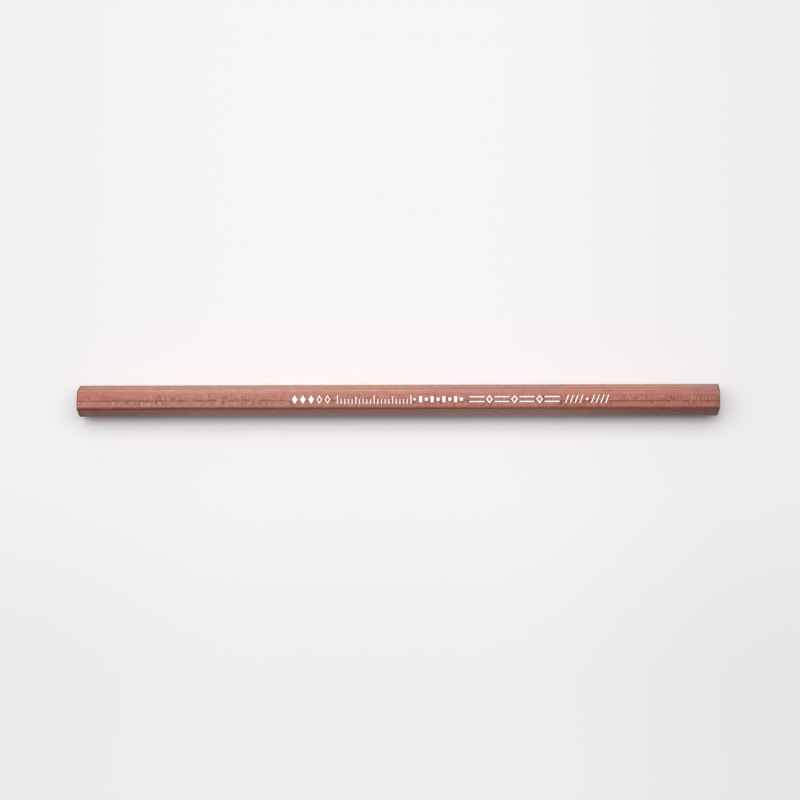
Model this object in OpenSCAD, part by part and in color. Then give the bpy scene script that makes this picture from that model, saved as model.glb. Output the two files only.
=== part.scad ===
// Hexagonal wood-cased charcoal pencil, unsharpened.
// Two grooved cedar slats are glued face to face around a round charcoal core,
// shaped to a hexagon, cut square at both ends and stamped with a white marking.
// Millimetres. +X runs along the barrel towards the tail end, +Z is up, and the
// origin is the middle of the flat that the pencil rests on.

/* [Barrel] */
// Length of the unsharpened barrel
barrel_len = 175; // [130:1:190]
// Width across two opposite flats
across_flats = 7.8; // [7.0:0.1:9.0]
// Radius of the six long edges
edge_r = 0.9; // [0.2:0.05:1.2]
// How far the edges of the marked flat stand outside a regular hexagon's
flat_extra = 0.15; // [0:0.05:0.3]

/* [Glue joint] */
// Distance of the glue plane from the barrel's middle, towards the front slat
seam_shift = 0.4; // [0:0.05:0.7]
// Thickness of the glue between the slats and around the core
glue_t = 0.08; // [0.04:0.01:0.15]

/* [Core] */
// Diameter of the charcoal core
core_d = 4.0; // [2.5:0.1:4.5]
// How far each end of the core sits inside the cut wood
core_recess = 0.12; // [0:0.02:0.4]
// Size of the crumbled edge at each end of the core
core_edge = 0.14; // [0.05:0.01:0.3]

/* [Marking] */
// Height of the tall marks, across the top flat
mark_h = 2.4; // [1.6:0.1:2.6]
// Width of the thin strokes
stroke = 0.34; // [0.25:0.01:0.5]
// Depth that the stamping presses into the wood
stamp_depth = 0.06; // [0.02:0.01:0.12]
// Thickness of the white film
film_t = 0.05; // [0.02:0.01:0.12]
// Middle of the marking's first group, along the barrel
mark_start = -22.9; // [-30:0.1:-15]

/* [Hidden] */
$fn = 64;

apothem = across_flats / 2;
corner_r = apothem / cos(30);               // centre to a sharp corner
arc_r = corner_r - edge_r / cos(30);        // centre to an edge's arc centre
// Angle from level to the upward normal of a slanted flat, 30 when regular
lean = atan2(arc_r / 2 - flat_extra, arc_r * sin(60));
core_r = core_d / 2;
groove_r = core_r + glue_t;
seam_y = -seam_shift;
top_z = across_flats;
reach = across_flats * 2;                   // larger than the section
gap = 0.5;                                  // cutters run past the faces by this

cedar = [0.73, 0.50, 0.45];
cedar_rear = [0.76, 0.53, 0.46];
charcoal = [0.07, 0.07, 0.07];
glue = [0.80, 0.70, 0.52];
white = [0.96, 0.96, 0.94];

// ---- section, drawn with x across the barrel and y up from the resting flat

// Centre of the arc at corner i. The marked and resting flats run a little
// wider than a regular hexagon's, so their four corners stand further out.
function corner_centre(i) =
    [arc_r * cos(60 * i) + (i % 3 == 0 ? 0 : sign(cos(60 * i)) * flat_extra),
     arc_r * sin(60 * i)];

// The arc of corner i runs between the normals of its two flats.
flat_normals = [-lean, lean, 90, 180 - lean, 180 + lean, 270, 360 - lean];
function around(a, r) = [r * cos(a), r * sin(a)];
function edge_points(i) = [for (a = [flat_normals[i], flat_normals[i + 1]])
    corner_centre(i) + around(a, edge_r)];

// The rounded hexagon: straight flats, and a true arc at each long edge.
module hexagon_section() {
    translate([0, apothem]) {
        polygon([for (i = [0:5]) each edge_points(i)]);
        for (i = [0:5])
            translate(corner_centre(i))
                intersection() {
                    circle(r = edge_r);
                    polygon([[0, 0],
                             around(flat_normals[i], 2 * edge_r),
                             around((flat_normals[i] + flat_normals[i + 1]) / 2,
                                    2 * edge_r),
                             around(flat_normals[i + 1], 2 * edge_r)]);
                }
    }
}

module core_circle(r) {
    translate([seam_y, apothem]) circle(r = r);
}

// A half of the section: side 1 is the rear, -1 the front.
module slat_section(side) {
    difference() {
        hexagon_section();
        translate([seam_y + side * (glue_t / 2 - reach / 2), apothem])
            square([reach, reach], center = true);
        core_circle(groove_r);
    }
}

// Lays a section along +X, centred on the origin.
module along_barrel(len) {
    translate([-len / 2, 0, 0])
        rotate([90, 0, 90])
            linear_extrude(height = len) children();
}

// ---- marking, drawn flat with x along the barrel and y across the top flat

pip_w = 1.62;
pip_pitch = 2.24;
scale_x = mark_start + 17.2;
scale_n = 21;
dot_x = mark_start + 28.2;
square_x = mark_start + 35.35;
square_n = 8;
square_s = 0.86;
square_pitch = 1.58;
band_x = mark_start + 55.25;
band_dash = 4.05;
band_pip = 1.9;
band_gap = 0.4;
hatch_x = mark_start + 74.8;
hatch_pitch = 1.28;

module lozenge(w, h) {
    polygon([[-w / 2, 0], [0, -h / 2], [w / 2, 0], [0, h / 2]]);
}

module lozenge_outline(w, h, t) {
    // the inner lozenge keeps a stroke of t on every side
    k = 1 - 2 * t / (w * h / sqrt(w * w + h * h));
    difference() {
        lozenge(w, h);
        lozenge(w * k, h * k);
    }
}

// Five lozenges that show softness: three filled, two open.
module pips_2d() {
    for (i = [0:4])
        translate([mark_start + (i - 2) * pip_pitch, 0])
            if (i < 3) lozenge(pip_w, mark_h);
            else lozenge_outline(pip_w, mark_h, stroke * 0.85);
}

// A 20 mm scale with a tick each millimetre, and a divider dot after it.
module scale_2d() {
    for (i = [0:scale_n - 1]) {
        h = i % 10 == 0 ? mark_h : i % 5 == 0 ? mark_h * 0.8 : mark_h * 0.52;
        translate([scale_x - 10 + i, (h - mark_h) / 2])
            square([stroke * 0.85, h], center = true);
    }
    translate([dot_x, 0]) circle(r = 0.36);
}

// A row of small squares.
module squares_2d() {
    for (i = [0:square_n - 1])
        translate([square_x + (i - (square_n - 1) / 2) * square_pitch, 0])
            square([square_s, i % 2 == 0 ? square_s * 1.9 : square_s],
                   center = true);
}

// Double dashes with open lozenges between them.
module band_2d() {
    step = band_dash + band_pip + 2 * band_gap;
    for (i = [0:3])
        for (s = [-1, 1])
            translate([band_x + (i - 1.5) * step, s * mark_h * 0.27])
                square([band_dash, stroke], center = true);
    for (i = [0:2])
        translate([band_x + (i - 1) * step, 0])
            lozenge_outline(band_pip, mark_h, stroke);
}

// Slanted strokes either side of a dot.
module hatch_2d() {
    for (s = [-1, 1])
        for (i = [0:3])
            translate([hatch_x + s * (1.55 + i * hatch_pitch), 0])
                polygon([[-0.42 - stroke / 2, -mark_h * 0.46],
                         [-0.42 + stroke / 2, -mark_h * 0.46],
                         [0.42 + stroke / 2, mark_h * 0.46],
                         [0.42 - stroke / 2, mark_h * 0.46]]);
    translate([hatch_x, 0]) circle(r = 0.36);
}

module film(h) {
    translate([0, 0, top_z - stamp_depth])
        linear_extrude(height = h) children();
}

// What the stamping presses out of the wood and the glue line.
module stamp_pockets() {
    film(stamp_depth + gap) {
        pips_2d();
        scale_2d();
        squares_2d();
        band_2d();
        hatch_2d();
    }
}

// ---- the pieces

module front_slat() {
    color(cedar)
        difference() {
            along_barrel(barrel_len) slat_section(-1);
            stamp_pockets();
        }
}

module rear_slat() {
    color(cedar_rear)
        difference() {
            along_barrel(barrel_len) slat_section(1);
            stamp_pockets();
        }
}

// A solid rod whose end edges have crumbled a little.
module charcoal_core() {
    body = barrel_len - 2 * (core_recess + core_edge);
    color(charcoal)
        translate([0, seam_y, apothem])
            rotate([0, 90, 0]) {
                cylinder(r = core_r, h = body, center = true);
                for (s = [0, 1])
                    mirror([0, 0, s])
                        translate([0, 0, body / 2])
                            cylinder(r1 = core_r, r2 = core_r - core_edge,
                                     h = core_edge);
            }
}

// The glue that holds the core in its two grooves.
module core_bond() {
    color(glue)
        along_barrel(barrel_len)
            difference() {
                core_circle(groove_r);
                core_circle(core_r);
            }
}

// The glue film between the slats, above (1) or below (-1) the core.
module seam_glue(side) {
    color(glue)
        difference() {
            along_barrel(barrel_len)
                difference() {
                    translate([seam_y, apothem + side * apothem / 2])
                        square([glue_t, apothem], center = true);
                    core_circle(groove_r);
                }
            stamp_pockets();
        }
}

module seam_glue_upper() { seam_glue(1); }
module seam_glue_lower() { seam_glue(-1); }

module stamped_pips() { color(white) film(film_t) pips_2d(); }
module stamped_scale() { color(white) film(film_t) scale_2d(); }
module stamped_squares() { color(white) film(film_t) squares_2d(); }
module stamped_band() { color(white) film(film_t) band_2d(); }
module stamped_hatch() { color(white) film(film_t) hatch_2d(); }

front_slat();
rear_slat();
charcoal_core();
core_bond();
seam_glue_upper();
seam_glue_lower();
stamped_pips();
stamped_scale();
stamped_squares();
stamped_band();
stamped_hatch();
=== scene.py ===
"""Looks for the hexagonal charcoal pencil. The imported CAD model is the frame, in metres."""
import math

import bpy
import bmesh
import numpy as np
from mathutils import Matrix, Vector
from mathutils.geometry import delaunay_2d_cdt


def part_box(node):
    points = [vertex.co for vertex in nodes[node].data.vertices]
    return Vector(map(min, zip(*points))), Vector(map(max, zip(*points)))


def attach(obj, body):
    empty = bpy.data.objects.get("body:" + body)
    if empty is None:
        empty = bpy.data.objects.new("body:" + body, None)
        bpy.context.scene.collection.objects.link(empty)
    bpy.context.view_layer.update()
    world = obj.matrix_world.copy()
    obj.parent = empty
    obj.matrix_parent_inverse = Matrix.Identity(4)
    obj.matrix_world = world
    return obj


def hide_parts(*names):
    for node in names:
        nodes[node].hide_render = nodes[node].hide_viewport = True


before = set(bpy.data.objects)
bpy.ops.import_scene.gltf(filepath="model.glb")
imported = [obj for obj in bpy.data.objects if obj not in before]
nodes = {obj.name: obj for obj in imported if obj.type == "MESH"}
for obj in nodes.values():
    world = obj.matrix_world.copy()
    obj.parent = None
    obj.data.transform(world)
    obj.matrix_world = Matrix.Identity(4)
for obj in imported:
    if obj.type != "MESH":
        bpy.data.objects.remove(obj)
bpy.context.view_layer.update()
scene = bpy.context.scene
MM = 0.001


def box_mm(name):
    low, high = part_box(name)
    return np.array(low) / MM, np.array(high) / MM


# ---------------------------------------------------------------- sizes, all from the frame, in mm
front_low, front_high = box_mm("front_slat")
rear_low, rear_high = box_mm("rear_slat")
core_low, core_high = box_mm("charcoal_core")
bond_low, bond_high = box_mm("core_bond")
seam_low, seam_high = box_mm("seam_glue_upper")
LENGTH = rear_high[0] - rear_low[0]
HALF = LENGTH / 2
FLATS = rear_high[2] - rear_low[2]
APOTHEM = FLATS / 2
CORNER = APOTHEM / math.cos(math.pi / 6)
EDGE_R = (CORNER - rear_high[1]) / (1 / math.cos(math.pi / 6) - 1)
ARC_R = CORNER - EDGE_R / math.cos(math.pi / 6)
slat_points = np.array([v.co for v in nodes["rear_slat"].data.vertices]) / MM
# The marked flat and the one below it are a little wider than a regular hexagon's.
SPREAD = float(slat_points[slat_points[:, 2] > FLATS - 1e-3, 1].max()) - ARC_R / 2
LEAN = math.degrees(math.atan2(ARC_R / 2 - SPREAD, ARC_R * math.sin(math.pi / 3)))
FLAT = ARC_R / 2 + SPREAD + EDGE_R * math.tan(math.radians(45 - LEAN / 2))
TURNS = {-60: (-90, -LEAN), 0: (-LEAN, LEAN), 60: (LEAN, 90)}
SEAM_Y = (seam_low[1] + seam_high[1]) / 2
CORE_R = (core_high[2] - core_low[2]) / 2
GROOVE_R = (bond_high[2] - bond_low[2]) / 2


# ---------------------------------------------------------------- repeatable noise for the meshes
def _hash(ix, iy, iz, seed):
    h = (ix.astype(np.int64) * 374761393 + iy.astype(np.int64) * 668265263
         + iz.astype(np.int64) * 2147483647 + seed * 974634777) & 0xFFFFFFFF
    h = ((h ^ (h >> 13)) * 1274126177) & 0xFFFFFFFF
    h = (h ^ (h >> 16)) * 2246822519 & 0xFFFFFFFF
    return ((h ^ (h >> 15)) & 0xFFFFFF) / float(0xFFFFFF)


def noise(x, y, z, seed=0):
    """Smooth value noise from -1 to 1."""
    x, y, z = np.broadcast_arrays(np.asarray(x, float), np.asarray(y, float), np.asarray(z, float))
    ix, iy, iz = np.floor(x), np.floor(y), np.floor(z)
    fx, fy, fz = x - ix, y - iy, z - iz
    fx, fy, fz = (f * f * f * (f * (f * 6 - 15) + 10) for f in (fx, fy, fz))
    total = 0
    for dx in (0, 1):
        for dy in (0, 1):
            for dz in (0, 1):
                w = (fx if dx else 1 - fx) * (fy if dy else 1 - fy) * (fz if dz else 1 - fz)
                total = total + w * _hash(ix + dx, iy + dy, iz + dz, seed)
    return total * 2 - 1


def step(a, b, t):
    t = np.clip((t - a) / (b - a), 0, 1)
    return t * t * (3 - 2 * t)


# ---------------------------------------------------------------- the wood's growth rings
# Each slat comes from its own board: the rings lie at their own slope and spacing.
BOARDS = {
    "front": {"slope": 1.32, "gap": 0.92, "shift": 0.31, "seed": 11, "bend": 0.030},
    "rear": {"slope": 1.02, "gap": 0.74, "shift": 0.12, "seed": 47, "bend": -0.022},
}


def ring_phase(x, y, z, board):
    """Growth rings counted across the board. A whole number is the dark end of a year's growth."""
    b = BOARDS[board]
    u = y * math.cos(b["slope"]) + (z - APOTHEM) * math.sin(b["slope"])
    v = -y * math.sin(b["slope"]) + (z - APOTHEM) * math.cos(b["slope"])
    wave = 0.34 * noise(x / 46, y / 4.2, z / 4.2, b["seed"]) + 0.07 * noise(x / 11, y / 1.3, z / 1.3, b["seed"] + 1)
    return (u + b["bend"] * v * v + wave + 0.0035 * x) / b["gap"] + b["shift"]


def late_wood(phase):
    """0 in the soft early wood, rising to 1 at the dark late wood and falling off sharply after it."""
    f = phase - np.floor(phase)
    return step(0.35, 0.86, f) * (1 - step(0.93, 1.0, f))


def wood_relief(x, y, z, s, board):
    """How far the finished surface lies under the nominal one, in mm, never above it."""
    seed = BOARDS[board]["seed"]
    late = late_wood(ring_phase(x, y, z, board))
    fibre = noise(x / 9.0, s / 0.17, 0.5, seed + 2) * 0.55 + noise(x / 3.4, s / 0.31, 7.5, seed + 3) * 0.45
    pores = np.clip(noise(x / 4.2, s / 0.11, 3.5, seed + 4) - 0.52, 0, 1)
    plane = noise(x / 17.0, s / 2.6, 1.5, seed + 5)
    depth = 0.0105 - 0.0032 * late + 0.0042 * fibre + 0.011 * pores + 0.0035 * plane
    return np.clip(depth, 0.0, 0.03)


# ---------------------------------------------------------------- section paths
def line(p, q, ds):
    n = max(1, int(round(math.dist(p, q) / ds)))
    return [(p[0] + (q[0] - p[0]) * i / n, p[1] + (q[1] - p[1]) * i / n) for i in range(n)]


def arc_point(corner, normal):
    c, a = math.radians(corner), math.radians(normal)
    out = SPREAD if corner else 0.0
    return (ARC_R * math.cos(c) + out + EDGE_R * math.cos(a), APOTHEM + ARC_R * math.sin(c) + EDGE_R * math.sin(a))


def outer_path(seam, ds):
    """The barrel's outline from the glue plane at the bottom round to the glue plane at the top, for the +Y half.
    Gives points, outward normals and the distance walked."""
    pts, nrm = [], []

    def add_line(p, q, angle):
        for r in line(p, q, ds):
            pts.append(r)
            nrm.append((math.cos(math.radians(angle)), math.sin(math.radians(angle))))

    at = (seam, 0.0)
    for corner, (first, last) in TURNS.items():
        add_line(at, arc_point(corner, first), first)
        n = max(3, int(round(EDGE_R * math.radians(last - first) / ds)))
        for i in range(n):
            a = first + (last - first) * i / n
            pts.append(arc_point(corner, a))
            nrm.append((math.cos(math.radians(a)), math.sin(math.radians(a))))
        at = arc_point(corner, last)
    add_line(at, (seam, FLATS), 90)
    pts.append((seam, FLATS))
    nrm.append((0.0, 1.0))
    pts, nrm = np.array(pts), np.array(nrm)
    walked = np.concatenate([[0], np.cumsum(np.hypot(*np.diff(pts, axis=0).T))])
    return pts, nrm, walked


def inner_path(seam, centre):
    """The glued face from the top down to the bottom, with the half-round groove. The ends are left out."""
    d = seam - centre
    h = math.sqrt(GROOVE_R ** 2 - d ** 2)
    top = line((seam, FLATS), (seam, APOTHEM + h), 0.32)[1:]
    a0 = math.atan2(h, d)
    n = 26
    bow = [(centre + GROOVE_R * math.cos(a0 - 2 * a0 * i / n), APOTHEM + GROOVE_R * math.sin(a0 - 2 * a0 * i / n)) for i in range(n + 1)]
    foot = line((seam, APOTHEM - h), (seam, 0.0), 0.32)[1:]
    return np.array(top + bow + foot)


def stations():
    """Places along the barrel: fine at the cut ends, where the edges are softened."""
    near = np.array([0, 0.012, 0.03, 0.055, 0.085, 0.12, 0.18, 0.27, 0.4, 0.58, 0.8])
    span = LENGTH - 2 * (near[-1] + 0.3)
    n = int(round(span / 0.5))
    middle = -HALF + near[-1] + 0.3 + span * np.arange(n + 1) / n
    return np.concatenate([-HALF + near, middle, (HALF - near)[::-1]])


# ---------------------------------------------------------------- mesh helpers
def new_object(name, verts_mm, faces, smooth=True, sharp_deg=38):
    mesh = bpy.data.meshes.new(name)
    mesh.from_pydata([tuple(v) for v in (np.asarray(verts_mm) * MM)], [], faces)
    mesh.validate(verbose=False)
    mesh.update()
    obj = bpy.data.objects.new(name, mesh)
    scene.collection.objects.link(obj)
    tidy(obj, smooth, sharp_deg)
    return obj


def tidy(obj, smooth=True, sharp_deg=38):
    bm = bmesh.new()
    bm.from_mesh(obj.data)
    bmesh.ops.recalc_face_normals(bm, faces=bm.faces)
    bm.to_mesh(obj.data)
    bm.free()
    for p in obj.data.polygons:
        p.use_smooth = smooth
    if smooth:
        obj.data.set_sharp_from_angle(angle=math.radians(sharp_deg))


def cap_faces(ring, spacing, seed, relief):
    """Fills a closed ring of (y, z) points. Gives extra points as (y, z, depth) and triangles over ring + extra."""
    ring = np.asarray(ring)
    low, high = ring.min(0), ring.max(0)
    rng = np.random.default_rng(seed)
    ys = np.arange(low[0] + spacing * 0.5, high[0], spacing)
    zs = np.arange(low[1] + spacing * 0.5, high[1], spacing)
    gy, gz = np.meshgrid(ys, zs)
    cloud = np.stack([gy.ravel(), gz.ravel()], 1) + rng.uniform(-0.22, 0.22, (gy.size, 2)) * spacing
    # keep the points inside the ring, and clear of its edge
    a, b = ring, np.roll(ring, -1, 0)
    inside = np.zeros(len(cloud), bool)
    gap = np.full(len(cloud), 1e9)
    for p, q in zip(a, b):
        cond = (p[1] > cloud[:, 1]) != (q[1] > cloud[:, 1])
        with np.errstate(divide="ignore", invalid="ignore"):
            xi = (q[0] - p[0]) * (cloud[:, 1] - p[1]) / (q[1] - p[1]) + p[0]
        inside ^= cond & (cloud[:, 0] < xi)
        d = q - p
        t = np.clip(((cloud - p) @ d) / max(d @ d, 1e-12), 0, 1)
        gap = np.minimum(gap, np.hypot(*(cloud - (p + t[:, None] * d)).T))
    cloud, gap = cloud[inside & (gap > spacing * 0.45)], gap[inside & (gap > spacing * 0.45)]
    n = len(ring)
    points = [Vector(p) for p in ring] + [Vector(p) for p in cloud]
    out = delaunay_2d_cdt(points, [(i, (i + 1) % n) for i in range(n)], [], 1, 1e-7)
    verts, faces, origin = out[0], out[2], out[3]
    if len(verts) != len(points):
        raise RuntimeError("the end face gained points")
    order = [o[0] for o in origin]
    faces = [[order[i] for i in f] for f in faces]
    depth = relief(cloud[:, 0], cloud[:, 1], gap)
    return np.column_stack([cloud, depth]), faces


def make_slat(name, side):
    board = "rear" if side > 0 else "front"
    seam = (seam_high[1] if side > 0 else -seam_low[1])
    centre = SEAM_Y * side
    seed = BOARDS[board]["seed"]
    path, normal, walked = outer_path(seam, 0.092)
    inner = inner_path(seam, centre)
    xs = stations()
    n_out, n_in = len(path), len(inner)
    n_ring = n_out + n_in
    tilt = np.degrees(np.arctan2(normal[:, 1], normal[:, 0]))
    own = np.array([-90, -LEAN, LEAN, 90])
    face = own[np.abs(tilt[:, None] - own).argmin(1)]
    along = -np.sin(np.radians(face)) * path[:, 0] + np.cos(np.radians(face)) * (path[:, 1] - APOTHEM)
    crown = np.where(np.abs(face - 90) < 1, CROWN_TOP, CROWN_SIDE) * np.clip(np.abs(along) / FLAT, 0, 1) ** 2
    for i in range(n_out):
        t = abs(tilt[i] - face[i])
        if t > 1:
            crown[i] = CROWN_SIDE + (crown[i] - CROWN_SIDE) * (1 - step(0, 30, t))
    rows = []
    for k, x in enumerate(xs):
        y, z = path[:, 0] * side, path[:, 1]
        depth = wood_relief(np.full(n_out, x), y, z, walked, board)
        # every flat is slightly crowned by its coats of varnish, the marked one most
        depth = depth + crown
        # the cut ends: a softened edge that varies round the barrel
        soft = 0.13 + 0.04 * noise(walked / 0.9, math.copysign(4, x), 0, seed + 8) \
            + 0.06 * np.clip(noise(walked / 0.35, math.copysign(9, x), 0, seed + 9) - 0.45, 0, 1)
        worn = math.copysign(1, x) * y < 0
        soft = soft + np.where(worn, 0.20, 0.05) * step(1.2, 2.6, np.abs(y))
        if x > 0 and side < 0:
            soft = soft + 0.42 * step(2.4, 4.0, np.abs(y))
        gap = HALF - abs(x)
        r = np.clip(1 - gap / soft, 0, 1)
        depth = depth + soft * (1 - np.sqrt(np.clip(1 - r * r, 0, 1)))
        # the two glued corners stay level with the glue line
        fade = step(0, 0.10, np.minimum(walked, walked[-1] - walked))
        depth = depth * (0.25 + 0.75 * fade)
        ring = np.empty((n_ring, 3))
        ring[:, 0] = x
        ring[:n_out, 1] = (path[:, 0] - normal[:, 0] * depth) * side
        ring[:n_out, 2] = path[:, 1] - normal[:, 1] * depth
        ring[n_out:, 1] = inner[:, 0] * side
        ring[n_out:, 2] = inner[:, 1]
        rows.append(ring)
    verts = np.concatenate(rows)
    faces = []
    for k in range(len(xs) - 1):
        a, b = k * n_ring, (k + 1) * n_ring
        for i in range(n_ring):
            j = (i + 1) % n_ring
            faces.append((a + i, a + j, b + j, b + i))

    # The saw leaves faint arcs across the end grain, and the early wood sits a little lower.
    def end_relief(end):
        def relief(y, z, gap):
            arc = np.hypot(y + 31 * end, z - 26)
            saw = noise(arc / 0.16, y / 3.0, z / 3.0, seed + 20 + end) * 0.006
            late = late_wood(ring_phase(np.full(len(y), end * HALF), y, z, board))
            cells = noise(y / 0.11, z / 0.11, end, seed + 23) * 0.004
            return (0.022 - 0.010 * late + saw + cells) * step(0, 0.25, gap)
        return relief

    tri = [tuple(f) for f in faces]
    for end, base in ((-1, 0), (1, (len(xs) - 1) * n_ring)):
        ring2d = verts[base:base + n_ring, 1:]
        extra, cap = cap_faces(ring2d, 0.15, seed + end, end_relief(end))
        start = len(verts)
        new = np.column_stack([end * (HALF - extra[:, 2]), extra[:, 0], extra[:, 1]])
        verts = np.concatenate([verts, new])
        for f in cap:
            tri.append(tuple(base + i if i < n_ring else start + i - n_ring for i in f))
    return new_object(name, verts, tri)


def wood_attributes(obj, board):
    """Gives the mesh the growth-ring count that the material reads, worked out at every vertex."""
    n = len(obj.data.vertices)
    co = np.empty(n * 3)
    obj.data.vertices.foreach_get("co", co)
    co = co.reshape(-1, 3) / MM
    ring = ring_phase(co[:, 0], co[:, 1], co[:, 2], board)
    attr = obj.data.attributes.new("ring", "FLOAT", "POINT")
    attr.data.foreach_set("value", ring.astype(np.float32))


CROWN_TOP = 0.045
CROWN_SIDE = 0.026
MARKS = ["stamped_pips", "stamped_scale", "stamped_squares", "stamped_band", "stamped_hatch"]


def cut_pockets(obj):
    """Presses the marks' pockets into the wood, to the depth that the frame's films lie at."""
    bm = bmesh.new()
    for m in MARKS:
        low, high = box_mm(m)
        part = nodes[m].data.copy()
        co = np.empty(len(part.vertices) * 3, np.float32)
        part.vertices.foreach_get("co", co)
        co = co.reshape(-1, 3)
        up = co[:, 2] > (low[2] + high[2]) / 2 * MM
        co[up, 2] = (FLATS + 0.4) * MM
        part.vertices.foreach_set("co", co.ravel())
        bm.from_mesh(part)
        bpy.data.meshes.remove(part)
    bmesh.ops.remove_doubles(bm, verts=bm.verts, dist=1e-7)
    bmesh.ops.recalc_face_normals(bm, faces=bm.faces)
    mesh = bpy.data.meshes.new("pocket_cutter")
    bm.to_mesh(mesh)
    bm.free()
    cutter = bpy.data.objects.new("pocket_cutter", mesh)
    scene.collection.objects.link(cutter)
    mod = obj.modifiers.new("pockets", "BOOLEAN")
    mod.operation = "DIFFERENCE"
    mod.solver = "MANIFOLD"
    mod.object = cutter
    deps = bpy.context.evaluated_depsgraph_get()
    baked = bpy.data.meshes.new_from_object(obj.evaluated_get(deps))
    obj.modifiers.remove(mod)
    old = obj.data
    obj.data = baked
    bpy.data.meshes.remove(old)
    bpy.data.objects.remove(cutter)
    bpy.data.meshes.remove(mesh)


# ---------------------------------------------------------------- material helpers
class Tree:
    """Small helper for node trees."""

    def __init__(self, name):
        self.mat = bpy.data.materials.new(name)
        self.mat.use_nodes = True
        self.t = self.mat.node_tree
        self.t.nodes.clear()
        self.out = self.t.nodes.new("ShaderNodeOutputMaterial")

    def node(self, kind, **props):
        n = self.t.nodes.new(kind)
        for k, v in props.items():
            setattr(n, k, v)
        return n

    def put(self, socket, value):
        if isinstance(value, bpy.types.NodeSocket):
            self.t.links.new(value, socket)
        else:
            socket.default_value = value

    def coords_mm(self, scale=(1, 1, 1), offset=(0, 0, 0)):
        tc = self.node("ShaderNodeTexCoord")
        m = self.node("ShaderNodeMapping")
        self.put(m.inputs["Vector"], tc.outputs["Object"])
        m.inputs["Scale"].default_value = tuple(1000 * s for s in scale)
        m.inputs["Location"].default_value = offset
        return m.outputs["Vector"]

    def noise(self, scale=(1, 1, 1), offset=(0, 0, 0), detail=3.0, rough=0.55, distort=0.0):
        n = self.node("ShaderNodeTexNoise")
        self.put(n.inputs["Vector"], self.coords_mm(scale, offset))
        n.inputs["Scale"].default_value = 1.0
        n.inputs["Detail"].default_value = detail
        n.inputs["Roughness"].default_value = rough
        n.inputs["Distortion"].default_value = distort
        return n.outputs["Fac"]

    def math(self, op, a, b=0.0, c=0.0, clamp=False):
        n = self.node("ShaderNodeMath", operation=op, use_clamp=clamp)
        for s, v in zip(n.inputs, (a, b, c)):
            self.put(s, v)
        return n.outputs[0]

    def range(self, value, lo, hi, a=0.0, b=1.0, kind="SMOOTHSTEP"):
        n = self.node("ShaderNodeMapRange", interpolation_type=kind)
        for s, v in zip(n.inputs, (value, lo, hi, a, b)):
            self.put(s, v)
        return n.outputs["Result"]

    def mix(self, fac, a, b, blend="MIX"):
        n = self.node("ShaderNodeMix", data_type="RGBA", blend_type=blend)
        self.put(n.inputs[0], fac)
        self.put(n.inputs[6], a)
        self.put(n.inputs[7], b)
        return n.outputs[2]

    def ramp(self, value, stops, kind="EASE"):
        n = self.node("ShaderNodeValToRGB")
        n.color_ramp.interpolation = kind
        ends = n.color_ramp.elements
        ends[0].position, ends[1].position = stops[0][0], stops[-1][0]
        ends[0].color, ends[1].color = (*stops[0][1], 1), (*stops[-1][1], 1)
        for p, c in stops[1:-1]:
            n.color_ramp.elements.new(p).color = (*c, 1)
        self.put(n.inputs[0], value)
        return n.outputs["Color"]

    def bump(self, height, distance_mm, strength=1.0, under=None):
        n = self.node("ShaderNodeBump")
        n.inputs["Strength"].default_value = strength
        n.inputs["Distance"].default_value = distance_mm * MM
        self.put(n.inputs["Height"], height)
        if under is not None:
            self.put(n.inputs["Normal"], under)
        return n.outputs["Normal"]

    def finish(self, **inputs):
        p = self.node("ShaderNodeBsdfPrincipled")
        for k, v in inputs.items():
            self.put(p.inputs[k], v)
        self.t.links.new(p.outputs["BSDF"], self.out.inputs["Surface"])
        return self.mat


def scaled(colour, k):
    return tuple(c * k for c in colour)


def grey(*stops):
    return [(p, (v, v, v)) for p, v in stops]


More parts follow.
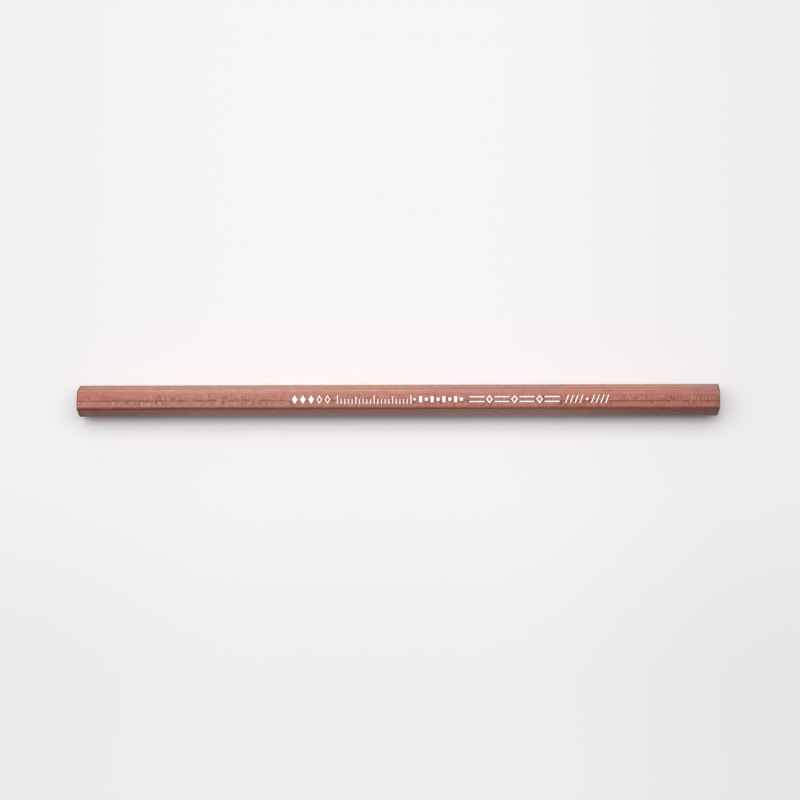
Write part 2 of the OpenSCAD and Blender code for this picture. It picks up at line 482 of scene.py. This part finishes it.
# ---------------------------------------------------------------- cedar
def cedar(name, base, seed, side_sign, top_along, side_tone_and_light, top_coat, side_coat, gloss, lines, streak=1.0, fleck=1.0):
    """Varnished cedar: growth rings, fibres, ray flecks beside the glue line, bare end grain at the cuts, and a thin
    dark rim round the cuts that is painted shade.
    top_along holds the marked flat's change of colour from end to end. The argument after it holds the same for the
    slanted neighbour together with painted light: darker on the near slat as painted shade, lighter on the far slat as
    painted light.
    lines are (low, high, soft, colour, strength along) bands of darker or paler colour beside the edges: among them
    painted shade along the near edge, a painted highlight along the far edge, and darker grain lines."""
    t = Tree(name)
    xyz = t.node("ShaderNodeSeparateXYZ")
    t.put(xyz.inputs[0], t.coords_mm())
    x, y, z = xyz.outputs
    geo = t.node("ShaderNodeNewGeometry")
    nrm = t.node("ShaderNodeSeparateXYZ")
    t.put(nrm.inputs[0], geo.outputs["True Normal"])
    nx, ny, nz = nrm.outputs
    end = t.range(t.math("ABSOLUTE", nx), 0.75, 0.95)
    top = t.range(nz, 0.8, 0.98)
    outward = t.math("MULTIPLY", ny, side_sign)
    side = t.range(outward, 0.35, 0.8)
    run = t.range(x, -HALF, HALF, 0.0, 1.0, "LINEAR")

    ring = t.node("ShaderNodeAttribute", attribute_name="ring").outputs["Fac"]
    f = t.math("FRACT", ring)
    late = t.math("MULTIPLY", t.range(f, 0.35, 0.86), t.range(f, 0.93, 1.0, 1.0, 0.0))
    tone = t.noise((0.012, 0.55, 0.55), (seed, 3, 5), 2.0, 0.5)
    fibre = t.noise((0.040, 3.1, 3.1), (seed * 2, 1, 9), 4.0, 0.62)
    fine = t.noise((0.22, 13.0, 13.0), (seed * 3, 4, 2), 3.0, 0.6)
    blotch = t.noise((0.09, 0.45, 0.45), (seed * 5, 8, 6), 3.0, 0.55)

    def tint(k, scale=base):
        k = k if isinstance(k, tuple) else (k, k, k)
        return (*(c * m for c, m in zip(scale, k)), 1)

    colour = t.mix(t.range(tone, 0.32, 0.68), tint(0.97), tint((1.10, 1.12, 1.14)))
    colour = t.mix(t.math("MULTIPLY", late, 0.42 * streak), colour, tint((0.74, 0.60, 0.56)))
    colour = t.mix(t.range(fibre, 0.52, 0.70, 0.0, 0.62 * streak), colour, tint((0.74, 0.58, 0.52)))
    colour = t.mix(t.range(fibre, 0.48, 0.30, 0.0, 0.62 * streak), colour, tint((1.22, 1.42, 1.46)))
    colour = t.mix(t.range(fine, 0.56, 0.74, 0.0, 0.30), colour, tint((0.70, 0.58, 0.55)))
    colour = t.mix(t.range(blotch, 0.48, 0.70, 0.0, 0.34), colour, tint((0.80, 0.72, 0.68)))
    colour = t.mix(t.range(blotch, 0.44, 0.26, 0.0, 0.34), colour, tint((1.14, 1.24, 1.26)))
    mottle = t.noise((0.42, 1.0, 1.0), (seed * 6, 2, 7), 2.0, 0.5)
    more = t.math("MULTIPLY_ADD", side, 0.45, 0.45)
    colour = t.mix(t.math("MULTIPLY", t.range(mottle, 0.50, 0.70), more), colour, tint((0.80, 0.68, 0.62)))
    colour = t.mix(t.math("MULTIPLY", t.range(mottle, 0.46, 0.28), more), colour, tint((1.18, 1.34, 1.36)))

    # Ray flecks: short bars that cross the grain, in clusters beside the glue line on the marked flat.
    wander = t.math("SUBTRACT", t.ramp(run, grey((0.0, 0.57), (0.12, 0.57), (0.26, 0.80), (0.36, 0.64), (0.86, 0.32), (1.0, 0.22)), "EASE"), 0.5)
    off = t.math("SUBTRACT", y, t.math("ADD", float(SEAM_Y), wander))
    seam_gap = t.math("ABSOLUTE", off)
    patch = t.noise((0.11, 0.30, 0.30), (seed * 7, 2, 1), 2.0, 0.5)
    cluster = t.math("MULTIPLY", t.range(patch, 0.40, 0.54, 0.30, 1.0), t.range(seam_gap, 2.0, 0.9, 0.22, 1.0))
    cluster = t.math("MULTIPLY", cluster, top)
    bar = t.noise((3.0, 0.60, 0.60), (seed * 11, 5, 3), 1.0, 0.5)
    dots = t.noise((2.5, 2.4, 2.4), (seed * 17, 3, 3), 1.0, 0.5)
    dark = t.math("MAXIMUM", t.range(bar, 0.55, 0.63), t.range(dots, 0.60, 0.67))
    dark = t.math("MULTIPLY", dark, t.math("MULTIPLY", cluster, 1.0 * fleck))
    pale = t.math("MAXIMUM", t.range(bar, 0.42, 0.33, 0.0, 0.9), t.range(dots, 0.36, 0.28, 0.0, 0.9))
    pale = t.math("MULTIPLY", pale, t.math("MULTIPLY", cluster, 0.85 * fleck))
    colour = t.mix(dark, colour, tint((0.66, 0.44, 0.36)))
    colour = t.mix(pale, colour, tint((1.40, 1.85, 1.90)))

    # Tone from end to end, on the marked flat and on its slanted neighbour. The neighbour's ramp also holds painted
    # light: darker on the near slat as painted shade, lighter on the far slat as painted light.
    colour = t.mix(1.0, colour, t.mix(side, t.ramp(run, top_along, "EASE"), t.ramp(run, side_tone_and_light, "EASE")), "MULTIPLY")
    smooth = t.node("ShaderNodeSeparateXYZ")
    t.put(smooth.inputs[0], geo.outputs["Normal"])
    s_out = t.math("MULTIPLY", smooth.outputs[1], side_sign)
    upper = t.range(z, float(APOTHEM), float(APOTHEM) + 0.3)
    # distance walked from the middle of the top flat, out over the edge and down the slanted flat
    down = t.math("DIVIDE", t.math("SUBTRACT", float(FLATS), z), math.cos(math.radians(LEAN)))
    across_ = t.math("ADD", t.math("MINIMUM", t.math("MULTIPLY", y, side_sign), float(FLAT)), down)
    wave = t.math("MULTIPLY", t.math("SUBTRACT", t.noise((0.030, 0.2, 0.2), (seed * 19, 1, 1), 3.0, 0.55), 0.5), 0.5)
    place = t.math("ADD", across_, wave)
    # Each band tints the colour beside the edges; some bands are painted shade or a painted highlight, others are grain
    # lines.
    for low_, high_, soft_, tone_, power in lines:
        band_ = t.math("MULTIPLY", t.range(place, low_ - soft_, low_ + soft_), t.range(place, high_ + soft_, high_ - soft_))
        band_ = t.math("MULTIPLY", t.math("MULTIPLY", band_, upper), t.ramp(run, power, "LINEAR"))
        colour = t.mix(band_, colour, t.mix(1.0, colour, (*tone_, 1), "MULTIPLY"))

    # Glue has soaked into the wood on each side of the joint, and the stain wanders a little.
    soak = t.noise((0.50, 2.0, 2.0), (seed * 13, 5, 3), 2.0, 0.5)
    stain = t.math("MULTIPLY", t.range(seam_gap, t.math("ADD", 0.14, t.math("MULTIPLY", soak, 0.32)), 0.04), t.range(soak, 0.38, 0.58, 0.22, 1.0))
    stain = t.math("MULTIPLY", stain, top)
    colour = t.mix(t.math("MULTIPLY", stain, t.math("SUBTRACT", 1.0, end)), colour, tint((0.50, 0.27, 0.22)))

    # The cut ends: dark rings and open cells, and round them a thin dark rim that is painted shade on the softened
    # edge.
    cells = t.noise((0.5, 9.0, 9.0), (seed, 6, 4), 3.0, 0.6)
    rays = t.noise((0.4, 0.7, 8.0), (seed * 2, 6, 7), 2.0, 0.5)
    grain = t.mix(t.math("MULTIPLY", late, 0.7), tint((0.90, 1.05, 1.05)), tint((0.46, 0.42, 0.40)))
    grain = t.mix(t.range(cells, 0.40, 0.66, 0.0, 0.5), grain, tint((0.44, 0.40, 0.38)))
    grain = t.mix(t.range(rays, 0.54, 0.70, 0.0, 0.3), grain, tint((1.2, 1.4, 1.4)))
    colour = t.mix(end, colour, grain)
    # painted shade: a thin dark band along each cut edge, wider on the slanted flats
    reach = t.math("SUBTRACT", float(HALF), t.math("ABSOLUTE", x))
    rim_shade_wave = t.noise((0.6, 0.7, 0.7), (seed * 2, 1, 4), 2.0, 0.5)
    rim_shade_width = t.math("ADD", t.math("MULTIPLY_ADD", rim_shade_wave, 0.6, 0.05), t.math("MULTIPLY", side, 0.45))
    rim_shade = t.range(reach, rim_shade_width, t.math("MULTIPLY", rim_shade_width, 0.4), 0.0, 0.85)
    rim_shade = t.math("MULTIPLY", rim_shade, t.math("SUBTRACT", 1.0, end))
    colour = t.mix(rim_shade, colour, (0.075, 0.060, 0.048, 1))

    # Relief in the finish: fibres under a thin clear coat.
    n0 = t.bump(t.math("ADD", t.math("MULTIPLY", fibre, 0.6), t.math("MULTIPLY", fine, 0.4)), 0.010, 0.35)
    n1 = t.bump(cells, 0.03, 0.8, n0)
    mixed = t.node("ShaderNodeMix", data_type="VECTOR")
    t.put(mixed.inputs[0], end)
    t.put(mixed.inputs[4], n0)
    t.put(mixed.inputs[5], n1)
    coat_n = t.bump(t.noise((0.10, 1.6, 1.6), (seed, 9, 9), 3.0, 0.5), 0.010, 0.30)
    coat = t.math("MULTIPLY", t.math("SUBTRACT", 1.0, end), t.range(rim_shade, 0.0, 0.85, 1.0, 0.35))
    keep = t.mix(side, t.ramp(run, top_coat, "LINEAR"), t.ramp(run, side_coat, "LINEAR"))
    coat = t.math("MULTIPLY", coat, keep)
    coat = t.math("MULTIPLY", coat, t.math("MULTIPLY_ADD", stain, -0.55, 1.0))
    coat = t.math("MULTIPLY", coat, t.math("MULTIPLY_ADD", dark, -0.55, 1.0))
    # the varnish lies thicker along some lines beside the edge, and shines more there
    step_out = t.range(across_, float(FLAT) - 1.0, float(FLAT) + 4.0, 0.0, 1.0, "LINEAR")
    shine = t.math("MULTIPLY", t.ramp(step_out, gloss, "LINEAR"), upper)
    rough = t.range(t.noise((0.3, 2.5, 2.5), (seed, 2, 8), 3.0, 0.6), 0.3, 0.7, 0.16, 0.26)
    return t.finish(**{
        "Base Color": colour,
        "Roughness": t.range(end, 0.0, 1.0, 0.55, 0.85),
        "Specular IOR Level": 0.25,
        "Normal": mixed.outputs[1],
        "Coat Weight": coat,
        "Coat Roughness": rough,
        "Coat IOR": t.math("MULTIPLY_ADD", shine, 0.75, 1.5),
        "Coat Normal": coat_n,
    })


WOOD = (0.412, 0.118, 0.0745)


FRONT_TOP = [(0.0, (1.04, 1.10, 1.08)), (0.14, (0.96, 1.03, 1.02)), (0.30, (0.95, 1.02, 1.02)), (0.60, (0.92, 0.93, 0.91)), (0.85, (0.85, 0.79, 0.75)), (1.0, (0.80, 0.76, 0.74))]
REAR_TOP = [(0.0, (0.99, 0.99, 0.97)), (0.15, (1.03, 1.11, 1.11)), (0.60, (1.05, 1.03, 1.02)), (0.85, (0.98, 0.92, 0.86)), (0.92, (0.90, 0.84, 0.80)), (1.0, (0.78, 0.72, 0.68))]
# The slanted flats' ramps hold their end-to-end tone and painted light: the near one is darkened as painted shade, the
# far one lightened as painted light.
FRONT_SIDE_TONE_AND_SHADE = [(0.0, (0.51, 0.36, 0.25)), (0.22, (0.62, 0.62, 0.44)), (0.75, (0.62, 0.66, 0.46)), (0.90, (0.46, 0.41, 0.36)), (1.0, (0.38, 0.34, 0.34))]
REAR_SIDE_TONE_AND_LIGHT = [(0.0, (0.96, 1.08, 0.86)), (0.12, (1.10, 1.33, 1.00)), (0.42, (1.16, 1.45, 1.05)), (0.60, (1.07, 1.24, 1.11)), (0.72, (1.00, 1.10, 1.06)), (0.88, (1.08, 1.15, 0.98)), (1.0, (0.88, 0.90, 0.95))]
FRONT_GLOSS = grey((0.0, 0.0), (0.60, 0.0), (0.75, 0.15), (1.0, 0.22))
REAR_GLOSS = grey((0.0, 0.0), (0.18, 0.0), (0.22, 1.0), (0.31, 1.0), (0.36, 0.0), (1.0, 0.0))
cedar_front = cedar("cedar_front", WOOD, 3.7, -1.0, FRONT_TOP, FRONT_SIDE_TONE_AND_SHADE,
    grey((0.0, 1.0), (0.62, 1.0), (1.0, 0.72)),
    grey((0.0, 0.50), (0.10, 0.66), (0.24, 0.90), (0.70, 0.98), (0.84, 0.70), (0.94, 0.50), (1.0, 0.50)), FRONT_GLOSS, [
    # painted shade: a dark line along the near edge and a grey band just inside it, strongest at the left end
    (FLAT + 0.22, FLAT + 0.85, 0.15, (0.76, 0.50, 0.41), grey((0.0, 1.0), (0.29, 1.0), (0.38, 0.55), (0.60, 0.50), (0.80, 0.20), (1.0, 0.10))),
    (FLAT - 0.55, FLAT + 0.15, 0.15, (0.84, 0.84, 0.85), grey((0.0, 1.0), (0.30, 0.8), (0.45, 0.3), (1.0, 0.0))),
    (FLAT - 0.05, FLAT + 0.55, 0.12, (1.24, 1.12, 1.12), grey((0.0, 0.0), (0.80, 0.0), (0.90, 1.0), (1.0, 1.0))),
    (FLAT + 0.80, FLAT + 2.00, 0.40, (1.08, 0.88, 0.76), grey((0.0, 1.0), (0.30, 0.7), (0.70, 0.7), (1.0, 0.5))),
    # painted shade on the near slanted flat towards the right end
    (FLAT + 0.70, FLAT + 2.20, 0.40, (0.98, 0.80, 0.72), grey((0.0, 0.0), (0.70, 0.0), (0.84, 0.8), (0.92, 1.0), (1.0, 1.0))),
], streak=0.9)
cedar_rear = cedar("cedar_rear", WOOD, 8.1, 1.0, REAR_TOP, REAR_SIDE_TONE_AND_LIGHT,
    grey((0.0, 0.62), (0.10, 0.68), (0.20, 1.0), (0.62, 1.0), (1.0, 0.78)),
    grey((0.0, 0.80), (0.10, 0.95), (0.30, 1.0), (0.80, 0.95), (1.0, 0.92)), REAR_GLOSS, [
    (FLAT - 1.00, FLAT - 0.15, 0.20, (1.08, 1.12, 1.10), grey((0.0, 0.3), (0.12, 0.6), (0.60, 0.8), (0.80, 1.0), (1.0, 1.0))),
    (FLAT + 0.70, FLAT + 1.30, 0.15, (0.88, 0.80, 0.78), grey((0.0, 1.0), (0.35, 0.9), (0.45, 0.0), (1.0, 0.0))),
    (FLAT + 3.00, FLAT + 4.20, 0.15, (0.82, 0.82, 0.80), grey((0.0, 1.0), (0.60, 0.8), (0.85, 0.3), (1.0, 0.3))),
    # painted highlight: a pale, bluish band along the far edge
    (FLAT + 0.12, FLAT + 0.60, 0.12, (1.20, 1.27, 1.34), grey((0.0, 0.7), (0.10, 0.7), (0.25, 1.0), (0.40, 0.5), (0.60, 0.3), (0.80, 0.9), (1.0, 1.0))),
    (FLAT - 1.30, FLAT - 0.60, 0.20, (1.06, 1.14, 1.06), grey((0.0, 0.0), (0.70, 0.0), (0.84, 1.0), (1.0, 1.0))),
    (FLAT + 0.72, FLAT + 1.36, 0.12, (0.75, 0.42, 0.32), grey((0.0, 0.15), (0.36, 0.28), (0.50, 1.0), (0.70, 0.9), (1.0, 0.9))),
    (FLAT + 0.72, FLAT + 1.36, 0.12, (0.82, 0.70, 0.66), grey((0.0, 0.0), (0.56, 0.0), (0.64, 1.0), (0.74, 0.8), (0.82, 0.0), (1.0, 0.0))),
    (FLAT + 1.30, FLAT + 2.20, 0.30, (0.97, 0.80, 0.74), grey((0.0, 0.0), (0.50, 0.0), (0.70, 1.0), (1.0, 0.5))),
])


# ---------------------------------------------------------------- charcoal, glue, film
def charcoal_material():
    t = Tree("charcoal")
    grit = t.noise((14, 14, 14), (1, 2, 3), 4.0, 0.7)
    crumb = t.noise((5.5, 5.5, 5.5), (7, 1, 4), 3.0, 0.6)
    lump = t.noise((1.7, 1.7, 1.7), (5, 2, 3), 3.0, 0.55)
    colour = t.ramp(grit, [(0.30, (0.010, 0.010, 0.011)), (0.50, (0.024, 0.023, 0.023)), (0.66, (0.066, 0.064, 0.062)), (0.80, (0.150, 0.146, 0.142))], "LINEAR")
    colour = t.mix(t.range(crumb, 0.52, 0.66, 0.0, 0.75), colour, (0.008, 0.008, 0.009, 1))
    colour = t.mix(t.range(crumb, 0.44, 0.32, 0.0, 0.55), colour, (0.080, 0.078, 0.076, 1))
    colour = t.mix(t.range(lump, 0.4, 0.7, 0.0, 0.45), colour, (0.014, 0.014, 0.015, 1))
    n = t.bump(grit, 0.06, 1.0, t.bump(crumb, 0.10, 0.9, t.bump(lump, 0.06, 0.5)))
    return t.finish(**{"Base Color": colour, "Roughness": t.range(grit, 0.3, 0.7, 0.68, 0.95), "Specular IOR Level": 0.35, "Normal": n})


def glue_material():
    t = Tree("glue")
    v = t.noise((0.5, 6, 6), (4, 1, 8), 3.0, 0.6)
    colour = t.ramp(v, [(0.3, (0.095, 0.030, 0.018)), (0.7, (0.200, 0.075, 0.045))])
    n = t.bump(v, 0.01, 0.6)
    return t.finish(**{"Base Color": colour, "Roughness": t.range(v, 0.3, 0.7, 0.35, 0.6), "Specular IOR Level": 0.45, "Normal": n})


def film_material():
    t = Tree("marking")
    worn = t.noise((7, 9, 9), (2, 7, 1), 4.0, 0.7)
    cloud = t.noise((0.9, 1.4, 1.4), (6, 7, 1), 3.0, 0.5)
    colour = t.ramp(cloud, [(0.3, (0.92, 0.90, 0.88)), (0.7, (0.97, 0.96, 0.94))])
    colour = t.mix(t.range(worn, 0.66, 0.80, 0.0, 0.5), colour, (0.55, 0.36, 0.31, 1))
    n = t.bump(t.noise((0.4, 6, 6), (1, 1, 9), 3.0, 0.6), 0.01, 0.5)
    return t.finish(**{"Base Color": colour, "Roughness": t.range(cloud, 0.3, 0.7, 0.32, 0.45), "Specular IOR Level": 0.5, "Normal": n})


charcoal = charcoal_material()
glue = glue_material()
film = film_material()


def paint(obj, mat):
    if not obj.data.materials:
        obj.data.materials.append(mat)
    for i in range(len(obj.data.materials)):
        obj.data.materials[i] = mat


for n in ("core_bond", "seam_glue_upper", "seam_glue_lower"):
    paint(nodes[n], glue)
for n in MARKS:
    paint(nodes[n], film)

# ---------------------------------------------------------------- the core
def make_core():
    """The charcoal rod: a round rod whose sunk ends are grainy, pitted and crumbled round the edge."""
    n, seed = 112, 71
    ang = 2 * math.pi * np.arange(n) / n
    radii = np.concatenate([np.linspace(0, CORE_R - 0.16, 24)[1:], CORE_R - np.array([0.12, 0.085, 0.055, 0.03, 0.012, 0.0])])

    def end_rings(end):
        base = core_low[0] if end < 0 else core_high[0]
        rings = []
        for r in radii:
            y, z = r * np.cos(ang), r * np.sin(ang)
            grain = 0.012 * noise(y / 0.075, z / 0.075, end, seed) + 0.012 * noise(y / 0.24, z / 0.24, end, seed + 1)
            pits = 0.09 * np.clip(noise(y / 0.15, z / 0.15, end + 3, seed + 2) - 0.42, 0, 1)
            t_ = max(0.0, 1 - (CORE_R - r) / 0.14)
            edge = 0.09 * (1 - math.sqrt(1 - t_ * t_)) * (1 + 0.5 * noise(3 * np.cos(ang), 3 * np.sin(ang), end, seed + 3))
            rings.append(np.column_stack([base - end * np.clip(0.026 + grain + pits + edge, 0, 0.2), SEAM_Y + y, APOTHEM + z]))
        return rings, np.array([[base - end * 0.03, SEAM_Y, APOTHEM]])

    low_rings, low_tip = end_rings(-1)
    high_rings, high_tip = end_rings(1)
    body = []
    for x in np.concatenate([[core_low[0] + 0.3], np.linspace(core_low[0] + 1, core_high[0] - 1, 45), [core_high[0] - 0.3]]):
        r = CORE_R - 0.006 - 0.005 * noise(x / 3.0, 2 * np.cos(ang), 2 * np.sin(ang), seed + 5)
        body.append(np.column_stack([np.full(n, x), SEAM_Y + r * np.cos(ang), APOTHEM + r * np.sin(ang)]))
    rings = low_rings + body + high_rings[::-1]
    verts = np.concatenate(rings + [low_tip, high_tip])
    faces = []
    for k in range(len(rings) - 1):
        for i in range(n):
            j = (i + 1) % n
            faces.append((k * n + i, (k + 1) * n + i, (k + 1) * n + j, k * n + j))
    last = (len(rings) - 1) * n
    for i in range(n):
        j = (i + 1) % n
        faces.append((i, j, len(rings) * n))
        faces.append((last + j, last + i, len(rings) * n + 1))
    return new_object("charcoal_core_rod", verts, faces, sharp_deg=60)


core = make_core()
paint(core, charcoal)
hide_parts("charcoal_core")
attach(core, "root")

# ---------------------------------------------------------------- the slats
for label, side, mat, slot in (("front", -1, cedar_front, "cedar_front"), ("rear", 1, cedar_rear, "cedar_rear")):
    slat = make_slat(f"{label}_slat_wood", side)
    cut_pockets(slat)
    tidy(slat)
    wood_attributes(slat, label)
    paint(slat, mat)
    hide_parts(f"{label}_slat")
    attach(slat, "root")

# ---------------------------------------------------------------- floor, light, camera
FLOOR = (0.906, 0.893, 0.910)
bpy.ops.mesh.primitive_plane_add(size=8, location=(0, 0, -0.00002))
floor = bpy.context.active_object
floor.name = "floor"
t = Tree("paper")
tooth = t.noise((2.2, 2.2, 2.2), (0, 0, 0), 3.0, 0.6)
broad = t.noise((0.004, 0.004, 0.004), (3, 1, 0), 2.0, 0.5)
colour = t.mix(t.range(broad, 0.35, 0.65, 0.0, 0.08), (*FLOOR, 1), (*scaled(FLOOR, 0.985), 1))
fx = t.node("ShaderNodeSeparateXYZ")
t.put(fx.inputs[0], t.coords_mm())
# painted shade: the paper darkens towards the right and towards the front
floor_painted_falloff = t.math("MULTIPLY", t.range(fx.outputs[0], 20.0, 110.0, 1.0, 0.925), t.range(fx.outputs[0], -110.0, -40.0, 0.965, 1.0))
floor_painted_falloff = t.math("MULTIPLY", floor_painted_falloff, t.range(fx.outputs[1], -80.0, -8.0, 0.93, 1.0))
shade = t.node("ShaderNodeCombineXYZ")
for s_ in shade.inputs:
    t.put(s_, floor_painted_falloff)
colour = t.mix(1.0, colour, shade.outputs[0], "MULTIPLY")
paper = t.finish(**{"Base Color": colour, "Roughness": 0.9, "Specular IOR Level": 0.15, "Normal": t.bump(tooth, 0.01, 0.3)})
paint(floor, paper)

# A long, high soft box: bright between two heights over the far side, dim elsewhere.
world = bpy.data.worlds.new("studio")
scene.world = world
world.use_nodes = True
wt = world.node_tree
wt.nodes.clear()


def wnode(kind, **props):
    n = wt.nodes.new(kind)
    for k, v in props.items():
        setattr(n, k, v)
    return n


def wmath(op, a, b=0.0, c=0.0):
    n = wnode("ShaderNodeMath", operation=op)
    for s, v in zip(n.inputs, (a, b, c)):
        if isinstance(v, bpy.types.NodeSocket):
            wt.links.new(v, s)
        else:
            s.default_value = v
    return n.outputs[0]


def wrange(value, lo, hi, a, b):
    n = wnode("ShaderNodeMapRange", interpolation_type="SMOOTHSTEP")
    wt.links.new(value, n.inputs[0])
    for s, v in zip(n.inputs[1:5], (lo, hi, a, b)):
        s.default_value = v
    return n.outputs["Result"]


BOX_LIGHT = 1.97
LOW_LIGHT = 2.4
HOT_LIGHT = 1.9
FILL = 0.135
tc = wnode("ShaderNodeTexCoord")
sep = wnode("ShaderNodeSeparateXYZ")
wt.links.new(tc.outputs["Generated"], sep.inputs[0])
wx, wy, wz = sep.outputs
angle = wmath("DEGREES", wmath("ARCTAN2", wz, wy))
band = wmath("MULTIPLY", wrange(angle, 38, 47, 0, 1), wrange(angle, 88, 112, 1, 0))
across = wmath("MULTIPLY", wrange(wx, 0.55, 0.95, 1, 0), wrange(wx, -0.94, -0.70, 0, 1))
light = wmath("MULTIPLY", wmath("MULTIPLY", band, across), BOX_LIGHT)
# A narrow second lamp stands lower down, a little to the left. It makes the bright line on the far edge.
narrow = wmath("MULTIPLY", wrange(wx, -0.05, 0.06, 1, 0), wrange(wx, -0.32, -0.22, 0, 1))
low_lamp = wmath("MULTIPLY", wmath("MULTIPLY", wrange(angle, 2, 10, 0, 1), wrange(angle, 22, 33, 1, 0)), LOW_LIGHT)
hot_lamp = wmath("MULTIPLY", wmath("MULTIPLY", wrange(angle, 38, 47, 0, 1), wrange(angle, 76, 84, 1, 0)), HOT_LIGHT)
light = wmath("ADD", light, wmath("MULTIPLY", narrow, wmath("ADD", low_lamp, hot_lamp)))
light = wmath("ADD", light, wmath("MULTIPLY", wrange(angle, 20, 50, 0.3, 1), FILL))
bg = wnode("ShaderNodeBackground")
bg.inputs["Color"].default_value = (1.0, 0.99, 0.985, 1)
wt.links.new(light, bg.inputs["Strength"])
seen = wnode("ShaderNodeBackground")
seen.inputs["Color"].default_value = (0.90, 0.88, 0.885, 1)
seen.inputs["Strength"].default_value = 1.0
path = wnode("ShaderNodeLightPath")
mixer = wnode("ShaderNodeMixShader")
wout = wnode("ShaderNodeOutputWorld")
wt.links.new(path.outputs["Is Camera Ray"], mixer.inputs[0])
wt.links.new(bg.outputs[0], mixer.inputs[1])
wt.links.new(seen.outputs[0], mixer.inputs[2])
wt.links.new(mixer.outputs[0], wout.inputs["Surface"])

scene.view_settings.view_transform = "Standard"
scene.view_settings.look = "None"
scene.view_settings.exposure = 0.0
scene.view_settings.gamma = 1.0

cam_data = bpy.data.cameras.new("camera")
cam = bpy.data.objects.new("camera", cam_data)
scene.collection.objects.link(cam)
scene.camera = cam
cam_data.sensor_width = 36
cam_data.lens = 77.98
right = Vector((0.99852, 0.00225, -0.05433)).normalized()
up = Vector((0.00245, 0.99627, 0.08629)).normalized()
back = right.cross(up).normalized()
up = back.cross(right).normalized()
m = Matrix((right, up, back)).transposed().to_4x4()
m.translation = Vector((26.88, -40.78, 475.64)) * MM
cam.matrix_world = m
cam_data.clip_start, cam_data.clip_end = 0.01, 50
